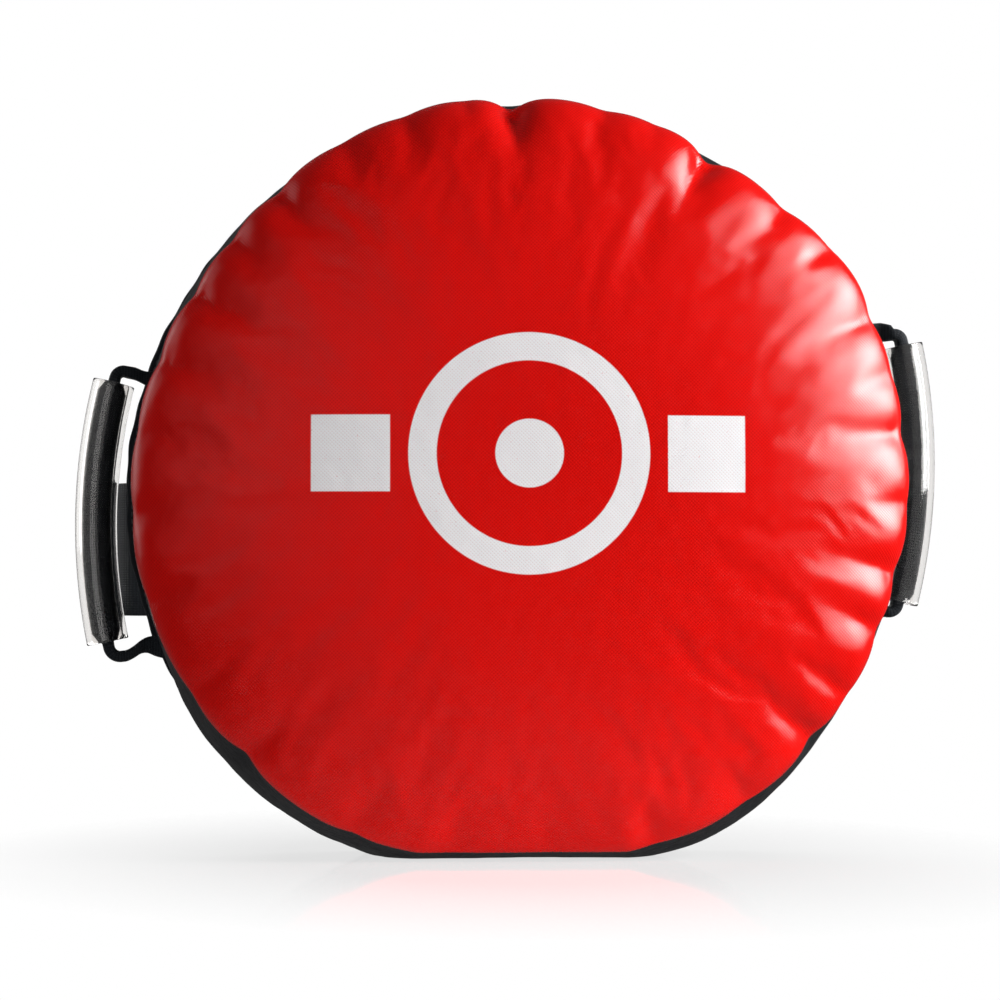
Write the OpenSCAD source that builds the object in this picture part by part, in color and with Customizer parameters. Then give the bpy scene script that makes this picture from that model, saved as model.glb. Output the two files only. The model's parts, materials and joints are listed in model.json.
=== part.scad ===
// Round hand-held punch shield: a thick domed disc of layered foam in a sewn cover,
// a clear-sleeved webbing grip at each side and a wide strap across the back.
// X runs to the right as seen from the front, the striking face looks along -Y, Z is up.
// The origin lies on the floor under the flattened bottom, at half the side wall's depth.

/* [Pad] */
// Radius of the side wall, mm
pad_radius = 196; // [150:1:240]
// Half width of the flattened bottom the pad stands on, mm
flat_half_width = 54; // [20:1:80]
// Depth of the straight side wall, mm
wall_depth = 110; // [60:1:150]
// Height of the domed face above the front seam, mm
crown_height = 36; // [15:1:60]
// How square the shoulder of the dome is, 2 is an ellipse
crown_squareness = 2.5; // [2:0.1:4]
// Thickness of the cover sheets, mm
cover_thickness = 1.2; // [0.8:0.1:2]

/* [Filling] */
// Thickness of the firm foam sheet behind the face, mm
front_foam_thickness = 20; // [10:1:30]
// Thickness of the firm foam sheet at the back, mm
rear_foam_thickness = 20; // [10:1:30]
// Thickness of the seal lamination between fibre and foam, mm
layer_gap = 0.4; // [0.3:0.1:1]

/* [Rear seam] */
// Width of the seam allowance outside the side wall, mm
seam_width = 4.3; // [3:0.1:8]
// Thickness of the binding tape, mm
binding_thickness = 1; // [0.6:0.1:2]

/* [Side grips] */
// Outer diameter of the grip sleeve, mm
grip_outer_diameter = 22; // [18:0.5:32]
// Wall of the grip sleeve, mm
grip_wall = 3; // [2:0.25:4]
// Straight distance between the ends of the grip sleeve, mm
grip_length = 136; // [100:1:160]
// Bend radius of the grip sleeve, mm
grip_bend_radius = 306; // [200:1:500]
// Distance from the pad axis to the middle of the grip, mm
grip_reach = 216.5; // [210:0.5:250]
// Height of the right grip above the pad axis, mm
grip_rise = 10.5; // [0:0.5:20]
// Lean of the grip, top away from the pad on the right, degrees
grip_lean = 1.2; // [-5:0.1:5]
// Depth position of the grip plane, mm
grip_plane = 53.4; // [40:0.1:60]

/* [Handle webbing] */
// Width of the folded webbing inside the sleeve, mm
folded_width = 14; // [10:0.5:15]
// Thickness of the folded webbing inside the sleeve, mm
folded_thickness = 7; // [4:0.5:9]
// Thickness of the flat webbing at the seam, mm
flat_thickness = 3; // [1:0.1:4]
// Width of the flat webbing at the seam, mm
flat_width = 18; // [15:1:38]
// Radius of the curl between sleeve and seam, mm
curl_radius = 7; // [5:0.5:12]
// Bare webbing between the sleeve end and the curl, mm
bare_length = 4; // [2:0.5:10]
// Distance from the pad axis to the line the handle swings about, mm
swing_line = 193; // [190:0.5:200]

/* [Back strap] */
// Height of the strap, mm
strap_height = 70; // [40:1:100]
// Thickness of the strap, mm
strap_thickness = 3; // [2:0.1:5]
// Distance of the strap's middle below the pad axis, mm
strap_drop = 30; // [0:1:60]
// Hand space between the back panel and the strap, mm
strap_space = 59.8; // [40:0.1:100]
// Radius of the bulge where the strap turns back, mm
bulge_radius = 16; // [8:1:30]
// Distance from the pad axis to the left bulge's centre, mm
left_bulge_reach = 189; // [150:1:189]
// Distance from the pad axis to the right bulge's centre, mm
right_bulge_reach = 170; // [150:1:180]
// Half length of the strap's overlap at the middle of the back, mm
overlap_half = 45; // [30:1:80]
// Distance from the pad axis to the fold of the strap flap, mm
fold_reach = 150; // [100:1:160]
// Thickness of each half of the hook and loop fastener, mm
fastener_thickness = 1.2; // [0.8:0.1:2]
// Gap between the hook half and the loop half, mm
fastener_gap = 0.3; // [0.3:0.1:1]

/* [Hidden] */
$fn = 128;
cut = 1;
far = 600;
pad_centre_height = sqrt(pad_radius * pad_radius - flat_half_width * flat_half_width);
front_seam = -wall_depth / 2;
rear_seam = wall_depth / 2;
rear_face = rear_seam + cover_thickness;
seam_radius = pad_radius + seam_width;
binding_radius = seam_radius + 0.2 + binding_thickness;
groove_radius = seam_radius + 0.2;
filling_inset = cover_thickness + layer_gap;
wadding_back = front_seam;
front_foam_front = wadding_back + layer_gap;
front_foam_back = front_foam_front + front_foam_thickness;
rear_foam_back = grip_plane - flat_thickness / 2 - layer_gap;
rear_foam_front = rear_foam_back - rear_foam_thickness;
sleeve_angle = asin(grip_length / 2 / grip_bend_radius);
bare_angle = bare_length / grip_bend_radius * 180 / PI;
core_angle = sleeve_angle + bare_angle;
bend_x = grip_reach - grip_bend_radius * cos(grip_lean);
bend_z = grip_rise + grip_bend_radius * sin(grip_lean);
// Directions, in degrees from +X, in which the two curls leave for the seam
upper_leave = 100;
lower_leave = -95;
tab_gap = 0.4;
strap_middle = pad_centre_height - strap_drop;
sewn_y = rear_face + 0.1 + strap_thickness / 2;
sewn_start = 140;
left_strap_y = sewn_y + strap_space - strap_thickness / 2;
stack = 2 * fastener_thickness + fastener_gap;
flap_y = left_strap_y + strap_thickness + stack;
fold_gap = 0.6;
// Turn by which the curl runs into the straight webbing, degrees
curl_overlap = 3;
// Loss of the webbing's section in the curl, mm
squeeze = 0.4;
fastener_height = strap_height - 10;
fastener_half = overlap_half - 4;

function spot(centre, radius, angle) = centre + radius * [cos(angle), sin(angle)];

function bend_centre() = [bend_x, bend_z];

function curl_start(side) = -grip_lean + side * core_angle;

function curl_centre(side) =
    spot(bend_centre(), grip_bend_radius - curl_radius, curl_start(side));

function leave_angle(side) = side > 0 ? upper_leave : lower_leave;

function curl_end(side) = spot(curl_centre(side), curl_radius, leave_angle(side));

// Height above the pad axis at which the webbing crosses the swing line
function anchor_height(side) =
    curl_end(side)[1] + (curl_end(side)[0] - swing_line) / tan(leave_angle(side));

function shell_profile(radius, height, steps) = [
    for (i = [0 : steps])
        let (turn = 90 * i / steps)
        [radius * pow(sin(turn), 2 / crown_squareness),
            height * pow(cos(turn), 2 / crown_squareness)]
];

// Half angle from the bulge centre at which the strap straightens into its arch
function arch_turn(bulge_reach, rise) =
    2 * (atan((bulge_reach - overlap_half) / rise) - 45);

module along_y(start, end) {
    translate([0, end, 0])
        rotate([90, 0, 0])
            linear_extrude(end - start)
                children();
}

module pad_outline(radius, floor_height) {
    intersection() {
        translate([0, pad_centre_height])
            circle(r = radius, $fn = 256);
        translate([-far / 2, floor_height])
            square([far, far]);
    }
}

module pad_layer(inset, start, end) {
    along_y(start, end)
        pad_outline(pad_radius - inset, inset);
}

module dome(radius, height) {
    translate([0, front_seam, pad_centre_height])
        rotate([90, 0, 0])
            rotate_extrude($fn = 256)
                polygon(concat([[0, 0]], shell_profile(radius, height, 20)));
}

module above_floor(height) {
    intersection() {
        children();
        translate([-far / 2, -far / 2, height])
            cube([far, far, far]);
    }
}

module rounded_bar(width, height, corner) {
    square([width - 2 * corner, height], center = true);
    square([width, height - 2 * corner], center = true);
    for (x = [-1, 1], y = [-1, 1])
        translate([x * (width / 2 - corner), y * (height / 2 - corner)])
            circle(r = corner, $fn = 32);
}

// Turns its child profile about a point of the grip plane, from one direction to another
module sweep_about(centre, from, to) {
    translate([centre[0], grip_plane, centre[1]])
        rotate([90, 0, 0])
            rotate([0, 0, min(from, to)])
                rotate_extrude(angle = abs(to - from))
                    children();
}

// Places the right handle, or the same handle turned half a turn for the left
module handle_place(side) {
    translate([0, 0, pad_centre_height])
        rotate([0, side == "left" ? 180 : 0, 0])
            children();
}

module front_panel() {
    color("firebrick")
        difference() {
            above_floor(0)
                dome(pad_radius, crown_height);
            above_floor(cover_thickness)
                translate([0, cut / 10, 0])
                    dome(pad_radius - cover_thickness, crown_height - cover_thickness);
        }
}

module webbing_slots(clearance) {
    for (place = ["left", "right"])
        handle_place(place)
            for (side = [-1, 1])
                webbing_tab(side, clearance, binding_radius + 4, swing_line + 9);
}

module side_gusset() {
    color("dimgray")
        difference() {
            union() {
                pad_layer(0, front_seam, rear_seam);
                along_y(rear_seam - cover_thickness, rear_seam)
                    pad_outline(seam_radius, 0);
            }
            pad_layer(cover_thickness, front_seam - cut, rear_seam + cut);
            webbing_slots(0.1);
        }
}

module rear_panel() {
    color("dimgray")
        along_y(rear_seam, rear_face)
            pad_outline(seam_radius, 0);
}

module rear_binding() {
    lip_inner = pad_radius + 0.4;
    lip_front = rear_seam - cover_thickness - 0.2 - binding_thickness;
    lip_back = rear_face + 0.2 + binding_thickness;
    floor_run = flat_half_width + 8;
    color("black") {
        difference() {
            above_floor(0)
                along_y(lip_front, lip_back)
                    difference() {
                        translate([0, pad_centre_height])
                            circle(r = binding_radius, $fn = 256);
                        translate([0, pad_centre_height])
                            circle(r = lip_inner, $fn = 256);
                    }
            along_y(lip_front + binding_thickness, lip_back - binding_thickness)
                translate([0, pad_centre_height])
                    circle(r = groove_radius, $fn = 256);
            webbing_slots(0.3);
            translate([-far / 2, rear_face, strap_middle - strap_height / 2 - 0.3])
                cube([far, 10, strap_height + 0.6]);
        }
        translate([-floor_run, rear_face, 0])
            cube([2 * floor_run, seam_width + binding_thickness, 2.6]);
    }
}

module front_wadding() {
    color("ivory")
        above_floor(filling_inset)
            intersection() {
                dome(pad_radius - filling_inset, crown_height - filling_inset);
                along_y(-far, wadding_back)
                    pad_outline(pad_radius - filling_inset, filling_inset);
            }
}

module front_impact_foam() {
    color("gray")
        pad_layer(filling_inset, front_foam_front, front_foam_back);
}

module core_foam() {
    color("khaki")
        pad_layer(filling_inset, front_foam_back + layer_gap, rear_foam_front - layer_gap);
}

module rear_foam() {
    color("gray")
        pad_layer(filling_inset, rear_foam_front, rear_foam_back);
}

module grip_tube() {
    inner_radius = grip_outer_diameter / 2 - grip_wall;
    sweep_about(bend_centre(), -grip_lean - sleeve_angle, -grip_lean + sleeve_angle)
        translate([grip_bend_radius, 0])
            difference() {
                circle(d = grip_outer_diameter, $fn = 64);
                circle(r = inner_radius, $fn = 64);
            }
}

// Flat wedge that spreads the folded webbing into its sewn width
module webbing_flare(side) {
    inner = spot(curl_centre(side), curl_radius - folded_thickness / 2, leave_angle(side));
    outer = spot(curl_centre(side), curl_radius + folded_thickness / 2, leave_angle(side));
    middle = anchor_height(side);
    intersection() {
        along_y(grip_plane - folded_width, grip_plane + folded_width)
            polygon([
                [swing_line, middle - side * flat_width / 2],
                [swing_line, middle + side * flat_width / 2],
                outer + [1, 0],
                inner + [1, 0]
            ]);
        translate([0, grip_plane, -far / 2])
            linear_extrude(far)
                polygon([
                    [swing_line, -flat_thickness / 2],
                    [swing_line, flat_thickness / 2],
                    [inner[0] + 0.2, folded_width / 2 - 1.5],
                    [inner[0] + 2, folded_width / 2 - 1],
                    [inner[0] + 2, 1 - folded_width / 2],
                    [inner[0] + 0.2, 1.5 - folded_width / 2]
                ]);
    }
}

module handle_webbing() {
    sweep_about(bend_centre(), curl_start(-1), curl_start(1))
        translate([grip_bend_radius, 0])
            rounded_bar(folded_thickness, folded_width, 2.4);
    for (side = [-1, 1]) {
        sweep_about(curl_centre(side), curl_start(side) - side * curl_overlap, leave_angle(side))
            translate([curl_radius, 0])
                rounded_bar(folded_thickness - squeeze, folded_width - squeeze, 2.2);
        webbing_flare(side);
        translate([swing_line, grip_plane, anchor_height(side) - flat_width / 2])
            cylinder(d = flat_thickness, h = flat_width, $fn = 32);
    }
}

// Sewn end of the webbing, from inside the rear seam out to the swing line
module webbing_tab(side, clearance, reach, outer_end) {
    height = anchor_height(side);
    half = flat_width / 2 + clearance;
    along_y(grip_plane - flat_thickness / 2 - clearance, grip_plane + flat_thickness / 2 + clearance)
        intersection() {
            rotate(atan(height / swing_line))
                translate([pad_radius - 14 - clearance, -half])
                    square([reach - pad_radius + 14 + clearance, 2 * half]);
            translate([0, -far / 2])
                square([outer_end, far]);
        }
}

module webbing_ends() {
    for (side = [-1, 1])
        webbing_tab(side, 0, binding_radius + 2, swing_line - flat_thickness / 2 - tab_gap);
}

module left_grip_tube() {
    color("lightblue", 0.5)
        handle_place("left")
            grip_tube();
}

module left_handle_webbing() {
    color("darkslategray")
        handle_place("left")
            handle_webbing();
}

module left_webbing_ends() {
    color("black")
        handle_place("left")
            webbing_ends();
}

module right_grip_tube() {
    color("lightblue", 0.5)
        handle_place("right")
            grip_tube();
}

module right_handle_webbing() {
    color("darkslategray")
        handle_place("right")
            handle_webbing();
}

module right_webbing_ends() {
    color("black")
        handle_place("right")
            webbing_ends();
}

// Points along an arc, for the edges of the strap
function arc_edge(centre, radius, from, to, steps) =
    [for (i = [0 : steps]) spot(centre, radius, from + (to - from) * i / steps)];

// One edge of a strap run, from its sewn end round the bulge to a place on the arch
function run_edge(bulge_reach, end_y, shift, arch_to) =
    let (rise = end_y - sewn_y - 2 * bulge_radius)
    let (turn = arch_turn(bulge_reach, rise))
    let (arch_radius = bulge_radius + rise / (1 - sin(turn)))
    concat(
        [[sewn_start, sewn_y - shift]],
        arc_edge([bulge_reach, sewn_y + bulge_radius], bulge_radius + shift, -90, turn, 24),
        arc_edge([overlap_half, end_y - arch_radius], arch_radius + shift, turn, arch_to, 16)
    );

function backwards(points) = [for (i = [len(points) - 1 : -1 : 0]) points[i]];

function flap_rise() = flap_y - sewn_y - 2 * bulge_radius;

function flap_arch_radius() =
    bulge_radius + flap_rise() / (1 - sin(arch_turn(right_bulge_reach, flap_rise())));

function flap_arch_centre() = [overlap_half, flap_y - flap_arch_radius()];

// Direction from the arch's centre to the fold between the root and the flap
function fold_angle() = acos((fold_reach - overlap_half) / flap_arch_radius());

module strap_shape() {
    translate([0, 0, strap_middle - strap_height / 2])
        linear_extrude(strap_height)
            children();
}

module left_strap() {
    half = strap_thickness / 2;
    color("black")
        mirror([1, 0, 0])
            strap_shape()
                polygon(concat(
                    run_edge(left_bulge_reach, left_strap_y, half, 90),
                    [[-overlap_half, left_strap_y + half], [-overlap_half, left_strap_y - half]],
                    backwards(run_edge(left_bulge_reach, left_strap_y, -half, 90))
                ));
}

module right_strap_root() {
    half = strap_thickness / 2;
    back_off = (strap_thickness + fold_gap) / flap_arch_radius() * 180 / PI;
    last = fold_angle() - back_off;
    color("black")
        strap_shape()
            polygon(concat(
                run_edge(right_bulge_reach, flap_y, half, last),
                arc_edge(spot(flap_arch_centre(), flap_arch_radius(), last), half,
                    last + 15, last + 165, 10),
                backwards(run_edge(right_bulge_reach, flap_y, -half, last))
            ));
}

module strap_flap() {
    half = strap_thickness / 2;
    first = fold_angle();
    color("black")
        strap_shape()
            polygon(concat(
                arc_edge(flap_arch_centre(), flap_arch_radius() + half, first, 90, 12),
                [[-overlap_half, flap_y + half], [-overlap_half, flap_y - half]],
                arc_edge(flap_arch_centre(), flap_arch_radius() - half, 90, first, 12),
                arc_edge(spot(flap_arch_centre(), flap_arch_radius(), first), half,
                    first + 195, first + 345, 10)
            ));
}

module loop_pad() {
    color("darkslategray")
        translate([-fastener_half, left_strap_y + strap_thickness / 2,
                strap_middle - fastener_height / 2])
            cube([2 * fastener_half, fastener_thickness, fastener_height]);
}

module hook_pad() {
    color("darkslategray")
        translate([-fastener_half, flap_y - strap_thickness / 2 - fastener_thickness,
                strap_middle - fastener_height / 2])
            cube([2 * fastener_half, fastener_thickness, fastener_height]);
}

front_panel();
side_gusset();
rear_panel();
rear_binding();
front_wadding();
front_impact_foam();
core_foam();
rear_foam();
left_grip_tube();
left_handle_webbing();
left_webbing_ends();
right_grip_tube();
right_handle_webbing();
right_webbing_ends();
left_strap();
right_strap_root();
strap_flap();
loop_pad();
hook_pad();
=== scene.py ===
import json
import math
import random

import bmesh
import bpy
import numpy as np
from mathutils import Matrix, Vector


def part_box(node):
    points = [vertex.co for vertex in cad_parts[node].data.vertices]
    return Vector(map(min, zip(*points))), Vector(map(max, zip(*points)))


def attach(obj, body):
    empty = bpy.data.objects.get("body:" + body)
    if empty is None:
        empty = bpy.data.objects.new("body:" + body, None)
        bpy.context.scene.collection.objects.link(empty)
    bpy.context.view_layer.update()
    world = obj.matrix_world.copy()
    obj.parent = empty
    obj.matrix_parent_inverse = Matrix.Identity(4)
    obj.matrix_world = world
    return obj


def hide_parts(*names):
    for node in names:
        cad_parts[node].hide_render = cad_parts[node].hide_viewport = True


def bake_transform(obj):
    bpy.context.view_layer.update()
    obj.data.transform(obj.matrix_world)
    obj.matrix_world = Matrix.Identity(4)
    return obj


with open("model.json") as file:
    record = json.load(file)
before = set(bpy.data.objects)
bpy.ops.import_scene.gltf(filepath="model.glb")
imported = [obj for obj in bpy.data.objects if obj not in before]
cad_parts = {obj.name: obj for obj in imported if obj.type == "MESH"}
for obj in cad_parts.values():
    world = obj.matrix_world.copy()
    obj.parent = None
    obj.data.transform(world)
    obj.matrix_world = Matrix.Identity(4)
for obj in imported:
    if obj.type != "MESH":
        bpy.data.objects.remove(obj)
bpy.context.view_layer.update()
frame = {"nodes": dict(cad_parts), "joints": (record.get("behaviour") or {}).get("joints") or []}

MM = 0.001

# ---------------------------------------------------------------- sizes taken from the frame
front_low, front_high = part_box("front_panel")
rear_low, rear_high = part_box("rear_panel")
PAD_R = front_high.x
SEAM_Y = front_high.y
PAD_Z = front_high.z - PAD_R
REAR_Y = rear_low.y
REAR_FACE = rear_high.y
CROWN = SEAM_Y - front_low.y


def outline(angle):
    """Distance from the pad's axis to its flat-bottomed outline, for an angle from +X towards +Z."""
    s = np.sin(angle)
    r = np.full_like(s, PAD_R)
    low = s < -0.5
    r[low] = np.minimum(PAD_R, PAD_Z / -s[low])
    return r


# ---------------------------------------------------------------- small helpers
def make_object(name, verts, faces, uvs=None, smooth=True):
    mesh = bpy.data.meshes.new(name)
    mesh.from_pydata([tuple(v) for v in verts], [], [tuple(int(i) for i in f) for f in faces])
    if uvs is not None:
        layer = mesh.uv_layers.new(name="Flat")
        loops = np.zeros(len(mesh.loops), np.int32)
        mesh.loops.foreach_get("vertex_index", loops)
        layer.data.foreach_set("uv", np.asarray(uvs, np.float32)[loops].ravel())
    mesh.update()
    if smooth:
        mesh.polygons.foreach_set("use_smooth", [True] * len(mesh.polygons))
    obj = bpy.data.objects.new(name, mesh)
    bpy.context.scene.collection.objects.link(obj)
    return obj


def band_faces(rows, n, turned=False, closed=False):
    """Quads between neighbouring rings of n points; closed joins the last ring to the first."""
    total = rows * n
    found = []
    for i in range(rows if closed else rows - 1):
        for j in range(n):
            a, b = i * n + j, i * n + (j + 1) % n
            c, d = (b + n) % total, (a + n) % total
            found.append((a, d, c, b) if turned else (a, b, c, d))
    return found


def face_outward(obj):
    """Turns the faces of a closed mesh outward."""
    b = bmesh.new()
    b.from_mesh(obj.data)
    bmesh.ops.recalc_face_normals(b, faces=b.faces)
    b.to_mesh(obj.data)
    b.free()


def coords(obj):
    co = np.zeros(len(obj.data.vertices) * 3)
    obj.data.vertices.foreach_get("co", co)
    return co.reshape(-1, 3)


def set_coords(obj, co):
    obj.data.vertices.foreach_set("co", np.asarray(co, np.float32).ravel())
    obj.data.update()


def normals(obj):
    no = np.zeros(len(obj.data.vertices) * 3)
    obj.data.vertices.foreach_get("normal", no)
    return no.reshape(-1, 3)


def apply_modifiers(obj):
    graph = bpy.context.evaluated_depsgraph_get()
    mesh = bpy.data.meshes.new_from_object(obj.evaluated_get(graph), depsgraph=graph)
    obj.modifiers.clear()
    old = obj.data
    obj.data = mesh
    mesh.name = obj.name
    bpy.data.meshes.remove(old)


def subdivide(obj, levels=1):
    m = obj.modifiers.new("Smooth", "SUBSURF")
    m.levels = levels
    m.render_levels = levels
    apply_modifiers(obj)


def smoothstep(low, high, x):
    t = np.clip((x - low) / (high - low), 0, 1)
    return t * t * (3 - 2 * t)


def turn_gap(a, b):
    """Signed difference of two angles in degrees, wrapped to +-180."""
    return (a - b + 180) % 360 - 180


def wave_noise(x, seed, octaves=3, period=1.0):
    """Smooth periodic noise of one variable, made of a few seeded sine waves."""
    r = random.Random(seed)
    total = np.zeros_like(x, dtype=float)
    for o in range(octaves):
        for _ in range(3):
            k = round((2 ** o) * (2 + 3 * r.random()))
            total += math.pow(0.6, o) * np.sin(2 * np.pi * k * x / period + r.random() * 6.283)
    return total / 3


# ---------------------------------------------------------------- materials
class Mat:
    """A node material with short calls for its common nodes."""

    def __init__(self, name):
        self.m = bpy.data.materials.new(name)
        self.m.use_nodes = True
        self.t = self.m.node_tree
        self.t.nodes.clear()
        self.out = self.t.nodes.new("ShaderNodeOutputMaterial")
        self.bsdf = self.t.nodes.new("ShaderNodeBsdfPrincipled")
        self.link(self.bsdf.outputs[0], self.out.inputs[0])

    def link(self, a, b):
        self.t.links.new(a, b)

    def node(self, kind, **props):
        n = self.t.nodes.new(kind)
        for k, v in props.items():
            setattr(n, k, v)
        return n

    def put(self, socket, value):
        if isinstance(value, bpy.types.NodeSocket):
            self.link(value, socket)
        else:
            socket.default_value = value

    def math(self, op, a, b=0.0, c=0.0, clamp=False):
        n = self.node("ShaderNodeMath", operation=op, use_clamp=clamp)
        self.put(n.inputs[0], a)
        self.put(n.inputs[1], b)
        self.put(n.inputs[2], c)
        return n.outputs[0]

    def noise(self, vector, scale, detail=3.0, rough=0.55, distortion=0.0):
        n = self.node("ShaderNodeTexNoise")
        self.put(n.inputs["Vector"], vector)
        n.inputs["Scale"].default_value = scale
        n.inputs["Detail"].default_value = detail
        n.inputs["Roughness"].default_value = rough
        n.inputs["Distortion"].default_value = distortion
        return n.outputs["Fac"]

    def voronoi(self, vector, scale, feature="F1"):
        n = self.node("ShaderNodeTexVoronoi", feature=feature)
        self.put(n.inputs["Vector"], vector)
        n.inputs["Scale"].default_value = scale
        return n.outputs["Distance"]

    def split(self, vector):
        n = self.node("ShaderNodeSeparateXYZ")
        self.put(n.inputs[0], vector)
        return n.outputs[0], n.outputs[1], n.outputs[2]

    def object_coords(self):
        return self.node("ShaderNodeTexCoord").outputs["Object"]

    def flat_coords(self):
        return self.node("ShaderNodeUVMap", uv_map="Flat").outputs[0]

    def mix(self, fac, a, b):
        n = self.node("ShaderNodeMix", data_type="RGBA")
        self.put(n.inputs["Factor"], fac)
        for socket, value in ((n.inputs[6], a), (n.inputs[7], b)):
            if isinstance(value, bpy.types.NodeSocket):
                self.link(value, socket)
            else:
                socket.default_value = (*value, 1)
        return n.outputs[2]

    def span(self, value, low, high, to_low=0.0, to_high=1.0):
        n = self.node("ShaderNodeMapRange")
        self.put(n.inputs["Value"], value)
        n.inputs["From Min"].default_value = low
        n.inputs["From Max"].default_value = high
        n.inputs["To Min"].default_value = to_low
        n.inputs["To Max"].default_value = to_high
        return n.outputs[0]

    def bump(self, height, strength, distance, under=None):
        n = self.node("ShaderNodeBump")
        self.put(n.inputs["Height"], height)
        n.inputs["Strength"].default_value = strength
        n.inputs["Distance"].default_value = distance
        if under is not None:
            self.link(under, n.inputs["Normal"])
        return n.outputs[0]

    def weave(self, vector, pitch):
        """Plain weave as a height from 0 to 1: raised squares that alternate with sunk ones."""
        x, y, _ = self.split(vector)
        a = self.math("SINE", self.math("MULTIPLY", x, math.pi / pitch))
        b = self.math("SINE", self.math("MULTIPLY", y, math.pi / pitch))
        return self.span(self.math("MULTIPLY", a, b), -1, 1)

    def finish(self, colour, roughness, normal=None):
        self.put(self.bsdf.inputs["Base Color"], colour)
        self.put(self.bsdf.inputs["Roughness"], roughness)
        if normal is not None:
            self.link(normal, self.bsdf.inputs["Normal"])
        return self.m


MARK_RISE = 15 * MM


def red_cover_material():
    m = Mat("Red coated weave")
    flat = m.flat_coords()
    x, y, _ = m.split(flat)
    weave = m.weave(flat, 0.9 * MM)
    threads = m.noise(flat, 900, 2)
    broad = m.noise(flat, 9, 3)
    fine = m.noise(flat, 130, 3)
    red = m.mix(broad, (0.60, 0.003, 0.002), (0.68, 0.005, 0.003))
    # the sunk squares of the weave are mixed halfway towards a darker red: painted shade in the weave's
    # hollows
    red = m.mix(m.span(weave, 0.0, 0.55, 0.5, 0.0), red, (0.30, 0.001, 0.001))
    # raised weave tops, where the thread noise is high, are mixed slightly towards a pale red: a painted
    # highlight on the weave
    red = m.mix(m.math("MULTIPLY", m.span(weave, 0.55, 1.0, 0.0, 0.10), m.span(threads, 0.4, 0.7)),
                red, (0.80, 0.06, 0.04))
    # generic target mark: a ring, a centre dot and a plain bar on each side
    y = m.math("SUBTRACT", y, MARK_RISE)
    radius = m.math("SQRT", m.math("ADD", m.math("MULTIPLY", x, x), m.math("MULTIPLY", y, y)))
    edge = 0.25 * MM

    def inside(value, low, high):
        return m.math("MULTIPLY", m.span(value, low - edge, low + edge),
                      m.span(value, high + edge, high - edge))

    ring = inside(radius, 46 * MM, 60 * MM)
    dot = m.span(radius, 17 * MM + edge, 17 * MM - edge)
    side = m.math("ABSOLUTE", x)
    height = m.math("ABSOLUTE", y)
    bar = m.math("MULTIPLY", inside(side, 69 * MM, 108 * MM), m.span(height, 19 * MM + edge, 19 * MM - edge))
    mark = m.math("MAXIMUM", m.math("MAXIMUM", ring, dot), bar, clamp=True)
    flecks = m.span(m.noise(flat, 700, 2), 0.66, 0.76, 1.0, 0.6)
    mark = m.math("MULTIPLY", mark, m.math("MULTIPLY", flecks, m.span(weave, 0.0, 0.3, 0.7, 1.0)))
    white = m.mix(broad, (0.74, 0.73, 0.74), (0.80, 0.80, 0.81))
    colour = m.mix(mark, red, white)
    rough = m.math("ADD", m.span(fine, 0.3, 0.7, 0.15, 0.22), m.math("MULTIPLY", mark, 0.15))
    n1 = m.bump(m.math("ADD", weave, m.math("MULTIPLY", threads, 0.3)), 0.7, 0.14 * MM)
    n2 = m.bump(m.noise(flat, 60, 4), 0.10, 0.6 * MM, n1)
    m.bsdf.inputs["Specular IOR Level"].default_value = 0.6
    return m.finish(colour, rough, n2)


def black_vinyl_material(name="Black coated weave", tint=0.8, pitch=0.9 * MM, gloss=0.30, crease=0.55):
    m = Mat(name)
    flat = m.flat_coords()
    weave = m.weave(flat, pitch)
    broad = m.noise(flat, 14, 3)
    fine = m.noise(flat, 160, 4)
    low = tuple(tint * c for c in (0.010, 0.010, 0.011))
    high = tuple(tint * c for c in (0.024, 0.024, 0.027))
    colour = m.mix(broad, low, high)
    # raised weave tops are mixed up to a quarter of the way towards a lighter grey: a painted highlight on
    # the weave
    colour = m.mix(m.span(weave, 0.6, 1.0, 0, 0.25), colour, (0.06, 0.06, 0.064))
    rough = m.span(fine, 0.3, 0.7, gloss, gloss + 0.14)
    n1 = m.bump(weave, 0.45, 0.14 * MM)
    x, y, _ = m.split(flat)
    stretched = m.node("ShaderNodeCombineXYZ")
    m.put(stretched.inputs[0], x)
    m.put(stretched.inputs[1], m.math("MULTIPLY", y, 0.35))
    folds_a = m.noise(stretched.outputs[0], 38, 4, 0.6, 1.2)
    folds_b = m.noise(flat, 75, 4, 0.6, 0.8)
    creased = m.math("ADD", folds_a, m.math("MULTIPLY", folds_b, 0.5))
    n2 = m.bump(creased, crease, 4.0 * MM, n1)
    m.bsdf.inputs["Specular IOR Level"].default_value = 0.3
    return m.finish(colour, rough, n2)


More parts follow.
